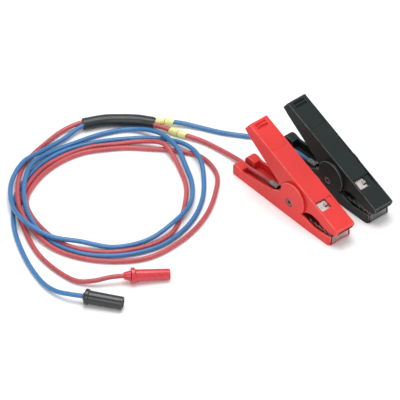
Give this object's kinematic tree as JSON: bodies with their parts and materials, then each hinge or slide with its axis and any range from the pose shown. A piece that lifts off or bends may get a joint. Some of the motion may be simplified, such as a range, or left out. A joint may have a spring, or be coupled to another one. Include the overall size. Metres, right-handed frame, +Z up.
{
  "type": "alligator clip lead",
  "caption": "Battery test lead: a red and a black insulated spring clip on two leads that share a sleeve, lie in loose loops and end in in-line sockets.",
  "frame": {"origin": "Midway between the two clips, on the surface that they stand on", "axes": "+X the way the jaws point, +Y from the red clip to the black clip, +Z up"},
  "size_m": [0.2239, 0.2361, 0.0548],
  "materials": {
    "red_plastic": "moulded PVC, satin, fine grain",
    "black_plastic": "moulded PVC, matte, grainy",
    "jaw_steel": "nickel-plated pressed steel",
    "pin_steel": "plain bright steel",
    "spring_steel": "zinc-plated spring wire",
    "tinned_terminal": "tinned copper",
    "red_jacket": "soft PVC jacket, satin",
    "blue_jacket": "soft PVC jacket, satin",
    "sleeve_plastic": "flexible sleeve, satin",
    "marker_plastic": "pale yellow marker ring",
    "red_socket_plastic": "moulded insulator, satin",
    "black_socket_plastic": "moulded insulator, satin",
    "contact_brass": "turned brass"
  },
  "bodies": {
    "root": {"red_lower_lever": "red_plastic", "red_lower_jaw": "jaw_steel", "red_pivot_pin": "pin_steel", "red_torsion_spring": "spring_steel", "red_crimp_terminal": "tinned_terminal", "red_terminal_rivet": "pin_steel", "black_lower_lever": "black_plastic", "black_lower_jaw": "jaw_steel", "black_pivot_pin": "pin_steel", "black_torsion_spring": "spring_steel", "black_crimp_terminal": "tinned_terminal", "black_terminal_rivet": "pin_steel", "red_lead": "red_jacket", "blue_lead": "blue_jacket", "cable_sleeve": "sleeve_plastic", "red_lead_marker_rear": "marker_plastic", "red_lead_marker_front": "marker_plastic", "blue_lead_marker_rear": "marker_plastic", "blue_lead_marker_front": "marker_plastic", "red_socket_body": "red_socket_plastic", "red_socket_boot": "red_socket_plastic", "red_socket_contact": "contact_brass", "black_socket_body": "black_socket_plastic", "black_socket_boot": "black_socket_plastic", "black_socket_contact": "contact_brass"},
    "red_upper": {"red_upper_lever": "red_plastic", "red_upper_jaw": "jaw_steel"},
    "black_upper": {"black_upper_lever": "black_plastic", "black_upper_jaw": "jaw_steel"}
  },
  "joints": [
    {"name": "red_clip_hinge", "type": "hinge", "parent": "root", "child": "red_upper", "pos_m": [0.0062, -0.018, 0.013], "axis": [0, -1, 0], "range_deg": [0, 25], "stiffness_Nm_per_rad": 0.6, "springref_deg": -57.3, "deforming": ["red_torsion_spring"]},
    {"name": "black_clip_hinge", "type": "hinge", "parent": "root", "child": "black_upper", "pos_m": [0.0062, 0.018, 0.013], "axis": [0, -1, 0], "range_deg": [0, 25], "stiffness_Nm_per_rad": 0.6, "springref_deg": -57.3, "deforming": ["black_torsion_spring"]}
  ]
}
